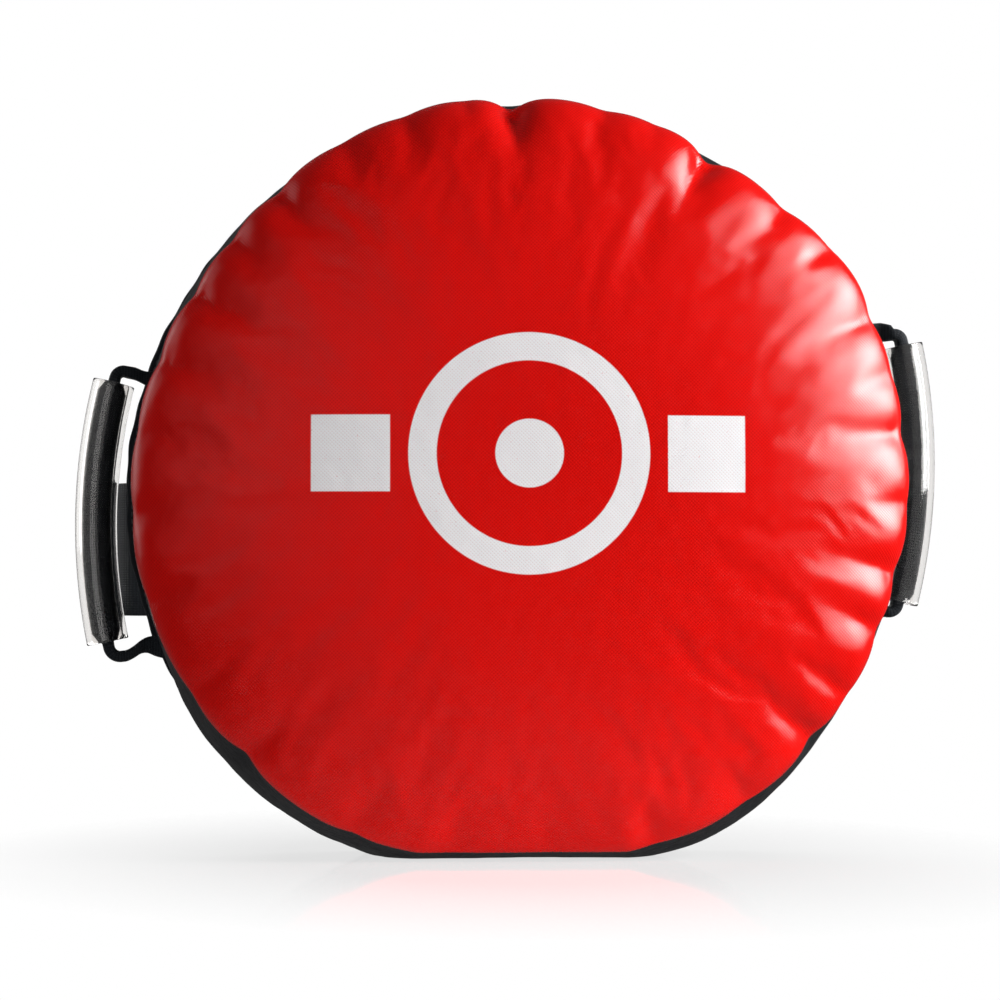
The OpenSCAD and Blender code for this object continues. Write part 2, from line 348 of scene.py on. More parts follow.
def webbing_material(name="Black webbing", rib=1.5 * MM, tint=1.0, gloss=0.42, shine=0.5):
    """Ribbed tape: Flat.x runs along the tape and Flat.y across it, in metres."""
    m = Mat(name)
    flat = m.flat_coords()
    x, y, _ = m.split(flat)
    across = m.math("MULTIPLY", y, math.pi / (0.75 * rib))
    along = m.math("MULTIPLY", x, math.pi / rib)
    shift = m.math("MULTIPLY", m.math("SIGN", m.math("SINE", across)), math.pi / 2)
    ribs = m.math("ABSOLUTE", m.math("SINE", m.math("ADD", along, shift)))
    cords = m.math("ABSOLUTE", m.math("SINE", across))
    height = m.math("MULTIPLY", m.math("POWER", ribs, 0.7), m.math("POWER", cords, 0.5))
    fuzz = m.noise(flat, 1500, 3)
    broad = m.noise(flat, 30, 3)
    low = tuple(tint * c for c in (0.008, 0.0095, 0.012))
    high = tuple(tint * c for c in (0.030, 0.035, 0.042))
    # raised ribs and cords take the lighter colour and the grooves the darker: painted shade in the grooves
    # and a painted highlight on the ribs, scaled by broad noise for an uneven tone
    colour = m.mix(m.math("MULTIPLY", height, m.span(broad, 0.2, 0.8, 0.6, 1.0)), low, high)
    rough = m.span(fuzz, 0.3, 0.7, gloss, gloss + 0.2)
    n1 = m.bump(height, 0.7, 0.28 * MM)
    n2 = m.bump(fuzz, 0.25, 0.12 * MM, n1)
    m.bsdf.inputs["Specular IOR Level"].default_value = shine
    m.bsdf.inputs["Sheen Weight"].default_value = 0.06
    m.bsdf.inputs["Sheen Roughness"].default_value = 0.4
    return m.finish(colour, rough, n2)


def clear_sleeve_material():
    m = Mat("Clear sleeve")
    where = m.object_coords()
    haze = m.noise(where, 60, 3)
    scratches = m.noise(where, 900, 2)
    colour = m.mix(haze, (0.82, 0.80, 0.78), (0.91, 0.895, 0.88))
    rough = m.span(scratches, 0.35, 0.8, 0.03, 0.08)
    normal = m.bump(m.noise(where, 40, 2), 0.06, 0.6 * MM)
    m.bsdf.inputs["Transmission Weight"].default_value = 1.0
    m.bsdf.inputs["IOR"].default_value = 1.46
    return m.finish(colour, rough, normal)


def thread_material(name="Black thread", colour_a=(0.015, 0.015, 0.016), colour_b=(0.08, 0.08, 0.085)):
    m = Mat(name)
    where = m.object_coords()
    twist = m.noise(where, 1600, 2)
    colour = m.mix(twist, colour_a, colour_b)
    return m.finish(colour, m.span(twist, 0.3, 0.7, 0.45, 0.65), m.bump(twist, 0.5, 0.15 * MM))


def loop_material():
    m = Mat("Loop pile")
    flat = m.flat_coords()
    pile = m.voronoi(flat, 1300)
    fuzz = m.noise(flat, 2200, 4, 0.7)
    colour = m.mix(fuzz, (0.008, 0.008, 0.009), (0.05, 0.05, 0.052))
    m.bsdf.inputs["Sheen Weight"].default_value = 0.6
    n = m.bump(m.math("ADD", pile, fuzz), 0.9, 0.5 * MM)
    return m.finish(colour, m.span(fuzz, 0.2, 0.8, 0.85, 0.95), n)


def hook_material():
    m = Mat("Hook pile")
    flat = m.flat_coords()
    x, y, _ = m.split(flat)
    a = m.math("SINE", m.math("MULTIPLY", x, math.pi / (0.8 * MM)))
    b = m.math("SINE", m.math("MULTIPLY", y, math.pi / (0.8 * MM)))
    hooks = m.math("MAXIMUM", m.math("MULTIPLY", a, b), 0.0)
    grime = m.noise(flat, 400, 3)
    # the hook rows take the lighter grey and the gaps between them the near black: painted highlight on the
    # hooks and painted shade between them
    colour = m.mix(hooks, (0.010, 0.010, 0.011), (0.06, 0.06, 0.064))
    return m.finish(colour, m.span(grime, 0.3, 0.7, 0.45, 0.6), m.bump(hooks, 1.0, 0.6 * MM))


# ---------------------------------------------------------------- the covers
RINGS = 48


def ring_grid(rings):
    """Rings of 6, 12, 18... points round a centre, in even triangles: (ring, angle) and faces."""
    ring = [0]
    angle = [0.0]
    start = [0]
    for k in range(1, rings + 1):
        start.append(len(ring))
        for j in range(6 * k):
            ring.append(k)
            angle.append(2 * math.pi * j / (6 * k))
    faces = []

    def index(k, j):
        return 0 if k == 0 else start[k] + j % (6 * k)

    for k in range(1, rings + 1):
        for s in range(6):
            for i in range(k):
                a, b = index(k, s * k + i), index(k, s * k + i + 1)
                c = index(k - 1, s * (k - 1) + i)
                faces.append((a, b, c))
                if i < k - 1:
                    faces.append((b, index(k - 1, s * (k - 1) + i + 1), c))
    return np.array(ring), np.array(angle), faces, start[rings]


# places where the front seam pulls in: angle from +X towards +Z in degrees, depth, half width and
# how far the fold runs in from the seam, mm
PUCKERS = (
    (92, 8.5, 2.6, 36), (60.5, 8.0, 2.8, 44), (47, 3.0, 3.0, 30), (38, 1.4, 2.6, 26), (26, 3.4, 3.0, 46),
    (17, 1.8, 2.6, 30), (8, 3.4, 3.0, 54), (-3, 2.0, 2.6, 30), (-13, 3.6, 3.2, 48), (-22, 3.4, 2.8, 42),
    (-33, 1.8, 2.6, 52), (-41, 4.6, 3.0, 48), (-55, 1.6, 3.0, 36), (-70, 2.4, 3.0, 30),
    (-86, 1.2, 3.0, 24), (-101, 1.8, 3.0, 28), (-116, 2.8, 3.0, 30), (-136, 4.4, 2.8, 42),
    (-148, 1.6, 2.8, 34), (-163, 1.4, 2.8, 30), (-176, 1.6, 2.8, 28), (172, 1.6, 2.8, 34),
    (161, 3.2, 2.8, 46), (150, 3.4, 3.2, 50), (140, 2.8, 3.0, 36), (130, 3.6, 3.0, 40),
    (118, 1.4, 2.8, 32), (108, 1.8, 2.8, 36), (99, 1.0, 2.0, 24), (78, 2.2, 3.0, 36), (70, 1.2, 2.4, 26),
)
# broad swellings of the outline: angle, height (negative where it is drawn in) and half width
SWELLS = ((31, 2.6, 9), (52, -1.5, 8), (144, -2.6, 16), (98, 1.2, 10), (204, 1.6, 18), (298, -1.4, 14),
          (188, 0.8, 12))


def valley(angle, spread=1.0):
    """Depth of the seam's valleys at each angle, mm, with the swelling between them left at zero."""
    deg = np.degrees(angle)
    total = np.zeros_like(deg)
    for centre, depth, half, _ in PUCKERS:
        far = np.abs(turn_gap(deg, centre)) / (half * spread)
        total += depth * np.exp(-far ** 1.15)
    return total


def swell(angle):
    """Broad swelling of the outline at each angle, mm."""
    deg = np.degrees(angle)
    return sum(height * np.exp(-(turn_gap(deg, centre) / half) ** 2) for centre, height, half in SWELLS)


def rear_edge_at(angle):
    """Distance from the pad's axis to the rear seam, which is drawn in along the top."""
    deg = np.degrees(angle)
    drawn = 2.6 * np.exp(-(turn_gap(deg, 138) / 34) ** 2) + 2.5 * np.exp(-(turn_gap(deg, 72) / 26) ** 2)
    return outline(angle) - drawn * MM


def seam_pull(angle):
    """How far the front seam lies inside the outline."""
    deg = np.degrees(angle)
    pull = -0.4 + valley(angle) - swell(angle) + 0.4 * wave_noise(angle / (2 * np.pi), 11, 3)
    flat = smoothstep(14, 30, np.abs(turn_gap(deg, -90)))
    return (pull * (0.25 + 0.75 * flat) + 4.6 * (1 - flat)) * MM


def seam_shift(angle):
    """How far the front seam wanders along Y."""
    return (0.9 * wave_noise(angle / (2 * np.pi), 23, 2) + 0.35 * valley(angle)) * MM


def folds(angle, from_rim):
    """Radial folds of the gathered face as an outward height: sharp valleys with swellings between them."""
    deg = np.degrees(angle)
    total = np.zeros_like(deg)
    for centre, depth, half, reach in PUCKERS:
        drift = centre + 2.5 * math.sin(centre * 1.7) * from_rim / (60 * MM)
        far = np.abs(turn_gap(deg, drift)) * (1 - 0.25 * np.clip(from_rim / (60 * MM), 0, 1)) / (half * 0.8)
        along = 1 - smoothstep(0.15, 1.0, from_rim / (reach * MM))
        total += -0.62 * depth * np.exp(-far ** 1.3) * along
    return total * MM


def simulate(obj, pinned, rest, pressure, frames, bending, tension, cap):
    """Blows the cloth up from its present shape with the lengths of its flat cut, and applies it."""
    before = coords(obj)
    obj.shape_key_add(name="Basis")
    key = obj.shape_key_add(name="Cut")
    key.data.foreach_set("co", np.asarray(rest, np.float32).ravel())
    key.value = 0
    group = obj.vertex_groups.new(name="pin")
    for i in pinned:
        group.add([int(i)], 1.0, "REPLACE")
    cloth = obj.modifiers.new("Cloth", "CLOTH")
    s = cloth.settings
    s.quality = 6
    s.mass = 0.35
    s.air_damping = 6
    s.tension_stiffness = tension
    s.compression_stiffness = tension
    s.shear_stiffness = tension * 0.5
    s.bending_stiffness = bending
    s.tension_damping = 20
    s.compression_damping = 20
    s.bending_damping = 1
    s.vertex_group_mass = "pin"
    s.rest_shape_key = key
    s.use_pressure = True
    s.uniform_pressure_force = pressure
    s.effector_weights.gravity = 0
    cloth.collision_settings.use_collision = False
    cloth.collision_settings.use_self_collision = False
    cloth.point_cache.frame_start = 1
    cloth.point_cache.frame_end = frames
    scene = bpy.context.scene
    scene.frame_start, scene.frame_end = 1, frames
    for f in range(1, frames + 1):
        scene.frame_set(f)
    graph = bpy.context.evaluated_depsgraph_get()
    mesh = bpy.data.meshes.new_from_object(obj.evaluated_get(graph), depsgraph=graph)
    after = np.zeros(len(mesh.vertices) * 3)
    mesh.vertices.foreach_get("co", after)
    after = after.reshape(-1, 3)
    bpy.data.meshes.remove(mesh)
    obj.modifiers.clear()
    obj.shape_key_clear()
    scene.frame_set(1)
    move = after - before
    far = np.linalg.norm(move, axis=1)
    move *= (np.minimum(far, cap) / np.maximum(far, 1e-9))[:, None]
    set_coords(obj, before + move)


def keep_above_floor(obj, clear=0.0006):
    co = coords(obj)
    low = co[:, 2] < clear
    co[low, 2] = clear
    set_coords(obj, co)


ring, angle, disc_faces, last_ring = ring_grid(RINGS)
share = ring / RINGS
rim = np.arange(last_ring, len(ring))

# front: a domed start shape whose flat cut is as wide as the dome's profile is long
DOME_POWER = 2.5
DOME_HEIGHT = CROWN - 3 * MM
profile = np.linspace(0, math.pi / 2, 400)
prof_r = np.sin(profile) ** (2 / DOME_POWER)
prof_h = np.cos(profile) ** (2 / DOME_POWER)
prof_x, prof_y = prof_r * PAD_R, prof_h * DOME_HEIGHT
prof_s = np.concatenate([[0], np.cumsum(np.hypot(np.diff(prof_x), np.diff(prof_y)))])
arc = share * prof_s[-1]
dome_r = np.interp(arc, prof_s, prof_x) / PAD_R
dome_h = np.interp(arc, prof_s, prof_y)
edge_pull = smoothstep(0.76, 1.0, share)
from_rim = (1 - share) * PAD_R
local_r = dome_r * (outline(angle) - seam_pull(angle) * edge_pull)
front_xyz = np.stack([
    local_r * np.cos(angle),
    SEAM_Y - dome_h + seam_shift(angle) * edge_pull - folds(angle, from_rim) * smoothstep(0, 0.04, 1 - share),
    PAD_Z + local_r * np.sin(angle)], 1)
cut_r = arc * outline(angle) / PAD_R
front_uv = np.stack([cut_r * np.cos(angle), cut_r * np.sin(angle)], 1)
front = make_object("front_cover", front_xyz, disc_faces, front_uv)
jitter = np.random.default_rng(5).normal(0, 0.12 * MM, len(ring)) * (ring < RINGS)
start = coords(front)
start[:, 1] += jitter
set_coords(front, start)
simulate(front, rim, front_xyz, pressure=3.0, frames=18, bending=1.0, tension=25, cap=8 * MM)
keep_above_floor(front)
subdivide(front, 1)


def sharpen_folds(obj):
    """Presses the narrow creases into the finished face, along its normals."""
    co, no = coords(obj), normals(obj)
    a = np.arctan2(co[:, 2] - PAD_Z, co[:, 0])
    r = np.hypot(co[:, 0], co[:, 2] - PAD_Z)
    inside = np.clip(outline(a) - seam_pull(a) - r, 0, None)
    deep = folds(a, inside * 1.15)
    fine = 0.35 * MM * wave_noise(a / (2 * np.pi), 51, 5) * (1 - smoothstep(0.008, 0.045, inside))
    free = smoothstep(0.0005, 0.004, inside)
    set_coords(obj, co + no * ((0.55 * deep + fine) * free)[:, None])


sharpen_folds(front)
keep_above_floor(front)

# side: a band from the front seam to the rear seam, cut a little long so that it creases
ROWS = 26
COLS = 6 * RINGS
SIDE_SLACK_ROUND = 1.04
SIDE_SLACK_DEEP = 1.05
col_angle = 2 * np.pi * np.arange(COLS) / COLS
row = np.linspace(0, 1, ROWS + 1)
A, T = np.meshgrid(col_angle, row)
front_edge = outline(A) - seam_pull(A)
rear_edge = rear_edge_at(A) + 0.3 * MM
# the filling sags into the lower right and lower left of the side, mm
sag = (8.5 * np.exp(-(turn_gap(np.degrees(A), -54) / 18) ** 2)
       + 6.0 * np.exp(-(turn_gap(np.degrees(A), -131) / 22) ** 2))
bow = np.sin(np.pi * T) * (1.0 + sag) * MM
side_r = front_edge + (rear_edge - front_edge) * smoothstep(0, 0.25, T) + bow
side_y = (SEAM_Y + seam_shift(A)) * (1 - T) + (REAR_Y - 1.4 * MM) * T
side_xyz = np.stack([side_r * np.cos(A), side_y, PAD_Z + side_r * np.sin(A)], 2).reshape(-1, 3)
side_len = REAR_Y - SEAM_Y
cut_round = outline(A) * SIDE_SLACK_ROUND
side_cut = np.stack([cut_round * np.cos(A), SEAM_Y + side_len * T * SIDE_SLACK_DEEP,
                     cut_round * np.sin(A)], 2).reshape(-1, 3)
side_uv = np.stack([A * PAD_R, T * side_len], 2).reshape(-1, 2)
side = make_object("side_cover", side_xyz, band_faces(ROWS + 1, COLS, turned=True))
layer = side.data.uv_layers.new(name="Flat")
for poly in side.data.polygons:
    for loop in poly.loop_indices:
        v = side.data.loops[loop].vertex_index
        u = side_uv[v].copy()
        if any(w % COLS == COLS - 1 for w in poly.vertices) and v % COLS == 0:
            u[0] += 2 * np.pi * PAD_R
        layer.data[loop].uv = u
start = coords(side)
inner = np.ones(len(start), bool)
inner[:COLS] = False
inner[-COLS:] = False
crumple = wave_noise(A / (2 * np.pi) + 0.02 * T, 41, 5) * np.sin(np.pi * T) + 0.6 * wave_noise(
    A / (2 * np.pi) - 0.03 * T, 43, 6) * np.sin(np.pi * T) * np.cos(2 * np.pi * T)
crumple = (1.6 * MM * crumple).reshape(-1)
start[:, 0] += crumple * np.cos(A).reshape(-1)
start[:, 2] += crumple * np.sin(A).reshape(-1)
start += np.random.default_rng(9).normal(0, 0.15 * MM, start.shape) * inner[:, None]
set_coords(side, start)
pins = list(range(COLS)) + list(range(ROWS * COLS, (ROWS + 1) * COLS))
simulate(side, pins, side_cut, pressure=1.0, frames=20, bending=0.5, tension=12, cap=7 * MM)
keep_above_floor(side)
subdivide(side, 1)
keep_above_floor(side)

# rear: nearly flat, tacked down where the strap is sewn on
strap_low, strap_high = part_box("left_strap")
_, root_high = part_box("right_strap_root")
REAR_SWELL = 5.0
TACK_INNER, TACK_OUTER = 0.128, 0.200
TACK_MARGIN = 0.004
rear_r = share * rear_edge_at(angle)
rx, rz = rear_r * np.cos(angle), PAD_Z + rear_r * np.sin(angle)


def rear_swell(x, z):
    """How far the back panel swells behind its flat plane."""
    r = np.hypot(x, z - PAD_Z) / PAD_R
    lift = REAR_SWELL * np.clip(1 - r ** 2, 0, 1)
    for low_x, high_x in ((-TACK_OUTER, -TACK_INNER), (TACK_INNER, TACK_OUTER)):
        dx = np.maximum(np.maximum(low_x - x, x - high_x), 0)
        dz = np.maximum(np.maximum(strap_low.z - TACK_MARGIN - z, z - strap_high.z - TACK_MARGIN), 0)
        lift = lift * smoothstep(0, 0.045, np.hypot(dx, dz))
    return lift * MM


def rear_wrinkle(x, z):
    """Small radial wrinkles near the rear seam."""
    a = np.arctan2(z - PAD_Z, x)
    r = np.hypot(x, z - PAD_Z) / PAD_R
    w = wave_noise(a / (2 * np.pi), 31, 4) + 0.6 * wave_noise(a / (2 * np.pi), 37, 5)
    return 0.55 * MM * w * smoothstep(0.45, 0.92, r) * (1 - smoothstep(0.95, 1.0, r))


lift = rear_swell(rx, rz) + rear_wrinkle(rx, rz) * np.clip(rear_swell(rx, rz) / (0.5 * MM), 0, 1)
rear_xyz = np.stack([rx, REAR_FACE - 0.4 * MM + lift, rz], 1)
rear_uv = np.stack([rear_r * np.cos(angle), rear_r * np.sin(angle)], 1)
rear = make_object("rear_cover", rear_xyz, [f[::-1] for f in disc_faces], rear_uv)
keep_above_floor(rear)
subdivide(rear, 1)
keep_above_floor(rear)

red = red_cover_material()
black = black_vinyl_material()
# the back panel's black is given a lighter tint (1.5, the side's is 0.8): painted light that lifts the back
# panel's dark vinyl
rear_black = black_vinyl_material("Back panel weave", 1.5, 0.9 * MM, 0.36, 0.25)
thread = thread_material()
front.data.materials.append(red)
side.data.materials.append(black)
rear.data.materials.append(rear_black)
for piece, node, slot in ((front, "front_panel", "front_cover"), (side, "side_gusset", "side_cover"),
                          (rear, "rear_panel", "side_cover")):
    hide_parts(node)
    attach(piece, "pad")
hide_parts("front_wadding", "front_impact_foam", "core_foam", "rear_foam")

# ---------------------------------------------------------------- rear binding with its stitches
TURN = 720
TAPE_MIDDLE = 2.2 * MM
TAPE_REACH = 3.3 * MM
TAPE_HALF = 2.3 * MM
STITCH_LINE = 2.6 * MM
STITCH_PITCH = 3.9 * MM


def seam_frame(a):
    """Point of the rear seam corner and its outward direction, for one angle."""
    r = float(rear_edge_at(np.array([a]))[0])
    folded = 1 - float(smoothstep(15, 25, np.array([abs(turn_gap(math.degrees(a), -90))]))[0])
    corner = Vector((r * math.cos(a), REAR_Y, PAD_Z + r * math.sin(a)))
    out = Vector((math.cos(a), 0, math.sin(a)))
    back = Vector((0, 1, 0))
    t = folded * math.pi / 2
    u = out * math.cos(t) + back * math.sin(t)
    v = back * math.cos(t) - out * math.sin(t)
    return corner + back * (folded * 2.0 * MM) - out * (folded * 0.6 * MM), u, v


def binding_point(a, u, v):
    """Point of the tape at an angle, u outward from the seam and v across the tape, kept off the floor."""
    corner, du, dv = seam_frame(a)
    wobble = 0.35 * MM * math.sin(23 * a + 1.3) + 0.25 * MM * math.sin(61 * a)
    p = corner + du * (u + wobble * u / (5 * MM)) + dv * v
    p.z = max(p.z, 0.0004)
    return p


section = []
for t in np.linspace(0, 2 * math.pi, 20, endpoint=False):
    c, s = math.cos(t), math.sin(t)
    u = TAPE_MIDDLE + TAPE_REACH * math.copysign(abs(c) ** 0.55, c)
    v = TAPE_HALF * math.copysign(abs(s) ** 0.6, s)
    section.append((u, v))
verts, uvs = [], []
for i in range(TURN):
    a = 2 * math.pi * i / TURN
    for j, (u, v) in enumerate(section):
        puff = 1 + 0.06 * math.sin(TURN * 0.44 * a)
        verts.append(binding_point(a, u, v * puff))
        uvs.append((a * PAD_R, j * 0.8 * MM))
binding = make_object("rear_binding_tape", verts, band_faces(TURN, len(section), closed=True), uvs)
tape = webbing_material("Binding tape", 0.8 * MM, 0.6, 0.45, shine=0.25)
binding.data.materials.append(tape)
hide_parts("rear_binding")
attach(binding, "pad")


def stitch_mesh(name, places, length, radius, material):
    """Short sunk thread loops: each place is (middle, direction, outward normal)."""
    verts, faces = [], []
    rings_along = (-0.5, -0.36, -0.15, 0.15, 0.36, 0.5)
    widths = (0.25, 0.8, 1.0, 1.0, 0.8, 0.25)
    heights = (-0.7, 0.25, 0.75, 0.75, 0.25, -0.7)
    for middle, along, normal in places:
        along = along.normalized()
        normal = (normal - along * normal.dot(along)).normalized()
        across = along.cross(normal)
        base = len(verts)
        for t, w, h in zip(rings_along, widths, heights):
            for k in range(6):
                c, s = math.cos(k * math.pi / 3), math.sin(k * math.pi / 3)
                verts.append(middle + along * (t * length) + normal * (radius * (h + w * s))
                             + across * (radius * w * c))
        for r in range(len(rings_along) - 1):
            for k in range(6):
                a, b = base + r * 6 + k, base + r * 6 + (k + 1) % 6
                faces.append((a, b, b + 6, a + 6))
        faces.append([base + k for k in range(5, -1, -1)])
        end = base + 6 * (len(rings_along) - 1)
        faces.append([end + k for k in range(6)])
    obj = make_object(name, verts, faces)
    face_outward(obj)
    obj.data.materials.append(material)
    return obj


places = []
count = int(2 * math.pi * (PAD_R + 3 * MM) / STITCH_PITCH)
for i in range(count):
    a = 2 * math.pi * i / count
    for v, sign in ((-2.2 * MM, -1), (2.2 * MM, 1)):
        p, q = binding_point(a, STITCH_LINE, v), binding_point(a + 0.002, STITCH_LINE, v)
        _, du, dv = seam_frame(a)
        if p.z < 0.0012:
            continue
        places.append((p, q - p, dv * sign))
binding_stitches = stitch_mesh("binding_stitches", places, 3.0 * MM, 0.42 * MM, thread)
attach(binding_stitches, "pad")


# ---------------------------------------------------------------- strips of webbing
def smooth_path(points, steps):
    """Even points along a Catmull-Rom curve through the given rows of numbers."""
    pts = np.asarray(points, float)
    ends = np.vstack([2 * pts[0] - pts[1], pts, 2 * pts[-1] - pts[-2]])
    out = []
    for i in range(1, len(ends) - 2):
        p0, p1, p2, p3 = ends[i - 1:i + 3]
        for t in np.linspace(0, 1, 12, endpoint=False):
            out.append(0.5 * ((2 * p1) + (-p0 + p2) * t + (2 * p0 - 5 * p1 + 4 * p2 - p3) * t ** 2
                              + (-p0 + 3 * p1 - 3 * p2 + p3) * t ** 3))
    out.append(ends[-2])
    out = np.array(out)
    gap = np.linalg.norm(np.diff(out[:, :3], axis=0), axis=1)
    s = np.concatenate([[0], np.cumsum(gap)])
    even = np.linspace(0, s[-1], steps)
    return np.stack([np.interp(even, s, out[:, k]) for k in range(out.shape[1])], 1)


joints = {j["name"]: j for j in frame["joints"]}
# the handles' webbing is given a darker tint (0.75, the strap's is 1.1): painted shade that darkens the
# webbing where the key light falls on it in the sleeves
webbing = webbing_material("Black webbing", 1.5 * MM, 0.75, shine=0.18)
SLEEVE_WALL = 3.0 * MM
SLEEVE_LIP = 0.5 * MM
# the webbing's size across and along Y, mm, where it is bare and where it fills the sleeve
BARE_TALL, BARE_DEEP = 6.2, 13.4
FULL_TALL, FULL_DEEP = 15.2, 12.2
FULL_SHIFT = 0.5
BORE_GAP = 0.3 * MM


def handle(side):
    """Clear sleeve of one side; gives its bend centre, end angles, bend and bore radii, and swing line."""
    swing = joints[side + "_handle_swing"]
    slide = joints[side + "_grip_slide"]
    cx, plane, cz = slide["pos_m"]
    swing_x = swing["pos_m"][0]
    sign = 1 if side == "right" else -1
    verts = coords(frame["nodes"][side + "_grip_tube"])
    dist = np.hypot(verts[:, 0] - cx, verts[:, 2] - cz)
    outer_r, inner_r = dist.max(), dist.min()
    bend = (outer_r + inner_r) / 2
    radius = (outer_r - inner_r) / 2
    ang = np.arctan2(verts[:, 2] - cz, sign * (verts[:, 0] - cx))
    lo, hi = ang.min(), ang.max()

    def at(t, off=0.0, y=0.0):
        return Vector((cx + sign * (bend + off) * math.cos(t), plane + y, cz + (bend + off) * math.sin(t)))

    # sleeve: outer wall, rounded lips and bore in one closed skin
    bore = radius - SLEEVE_WALL
    lip = SLEEVE_LIP
    dl = lip / bend
    run = [(lo, radius - lip), (lo + 0.3 * dl, radius - 0.3 * lip), (lo + dl, radius)]
    run += [(t, radius) for t in np.linspace(lo + dl, hi - dl, 60)[1:-1]]
    run += [(hi - dl, radius), (hi - 0.3 * dl, radius - 0.3 * lip), (hi, radius - lip)]
    run += [(hi, bore + lip), (hi - 0.3 * dl, bore + 0.3 * lip), (hi - dl, bore)]
    run += [(t, bore) for t in np.linspace(hi - dl, lo + dl, 60)[1:-1]]
    run += [(lo + dl, bore), (lo + 0.3 * dl, bore + 0.3 * lip), (lo, bore + lip)]
    verts = []
    n = 40
    for t, r in run:
        for k in range(n):
            p = 2 * math.pi * k / n
            verts.append(at(t, r * math.cos(p), r * math.sin(p)))
    sleeve = make_object(side + "_sleeve", verts, band_faces(len(run), n, turned=sign > 0, closed=True))
    face_outward(sleeve)
    sleeve.data.materials.append(clear)
    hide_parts(side + "_grip_tube")
    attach(sleeve, side + "_grip")
    return Vector((cx, plane, cz)), lo, hi, bend, bore, swing_x, sign


clear = clear_sleeve_material()


def webbing_loop(side, upper, lower):
    """Folded webbing through the sleeve, curled back to the rear seam at both ends.

    Each end is (bare length, curl radius, direction in which the curl ends, stations), in mm and degrees,
    and a station of the sewn leg is (distance from the pad's axis, low edge, high edge, thickness along Y).
    Both are for the right side, and the left side is the same turned by half a turn about the pad's axis."""
    centre, lo, hi, bend, bore, swing_x, sign = handle(side)
    rows = []

    def place(x, z, nx, nz, tall, deep, shift=None):
        rows.append((sign * x, sign * z, sign * nx, sign * nz, tall, deep, shift))

    mid_x, mid_z = sign * centre.x, sign * (centre.z - PAD_Z)
    if sign < 0:
        lo, hi = -hi, -lo

    def curl(end, bare, radius, last, stations):
        """Curl and sewn leg at one end, from the bare webbing out to the seam."""
        t = (hi + bare * MM / bend) if end > 0 else (lo - bare * MM / bend)
        radius *= MM
        first = math.degrees(t)
        cx = mid_x + (bend - radius) * math.cos(t)
        cz = mid_z + (bend - radius) * math.sin(t)
        found = []
        for k in range(15):
            a = math.radians(first + (last - first) * k / 14)
            c, s = math.cos(a), math.sin(a)
            found.append((cx + radius * c, cz + radius * s, c, s, BARE_TALL * MM, BARE_DEEP * MM))
        x0, z0 = found[-1][0] / MM, found[-1][1] / MM
        line = [(x0, z0 - BARE_TALL / 2, z0 + BARE_TALL / 2, BARE_DEEP)] + list(stations)
        line = smooth_path([(a, b, c, d) for a, b, c, d in line], 16)[1:]
        for x, low, high, deep in line:
            found.append((x * MM, (low + high) / 2 * MM, 0, end, (high - low) * MM, deep * MM))
        return found

    for row in reversed(curl(-1, *lower)):
        place(*row)
    steps = 46
    for k in range(steps + 1):
        first, last = lo - 0.5 * MM / bend, hi + 0.5 * MM / bend
        t = first + (last - first) * k / steps
        inner = min(t - lo, hi - t) * bend
        full = float(smoothstep(-1 * MM, 5 * MM, np.array([inner]))[0])
        tall = BARE_TALL + (FULL_TALL - BARE_TALL) * full
        deep = BARE_DEEP + (FULL_DEEP - BARE_DEEP) * full
        shift = FULL_SHIFT * MM * full
        place(mid_x + (bend - shift) * math.cos(t), mid_z + (bend - shift) * math.sin(t),
              math.cos(t), math.sin(t), tall * MM, deep * MM, shift)
    for row in curl(1, *upper):
        place(*row)
    ring_shape = []
    for t in np.linspace(0, 2 * math.pi, 24, endpoint=False):
        c, s = math.cos(t), math.sin(t)
        ring_shape.append((math.copysign(abs(c) ** 0.5, c), math.copysign(abs(s) ** 0.5, s)))
    verts, uvs = [], []
    run = 0.0
    n = len(ring_shape)
    room = bore - BORE_GAP
    for i, (x, z, nx, nz, tall, deep, shift) in enumerate(rows):
        if i:
            run += math.hypot(x - rows[i - 1][0], z - rows[i - 1][1])
        around = 0.0
        last_point = None
        for j, (u, v) in enumerate(ring_shape):
            crease = 1 - 0.16 * math.exp(-(v / 0.35) ** 2) * (1 if abs(u) > 0.6 else 0)
            p = (u * tall / 2 * crease, v * deep / 2)
            if shift is not None:
                # inside the sleeve the corners are pressed round by the bore
                squeeze = min(1, room / math.hypot(p[0] - shift, p[1]))
                p = ((p[0] - shift) * squeeze + shift, p[1] * squeeze)
            if last_point is not None:
                around += math.hypot(p[0] - last_point[0], p[1] - last_point[1])
            last_point = p
            verts.append((x + nx * p[0], centre.y + p[1], PAD_Z + z + nz * p[0]))
            uvs.append((run, around))
    faces = band_faces(len(rows), n)
    faces.append([j for j in range(n - 1, -1, -1)])
    faces.append([(len(rows) - 1) * n + j for j in range(n)])
    obj = make_object(side + "_webbing", verts, faces, uvs)
    face_outward(obj)
    obj.data.materials.append(webbing)
    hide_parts(side + "_handle_webbing", side + "_webbing_ends")
    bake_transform(obj)
    return obj


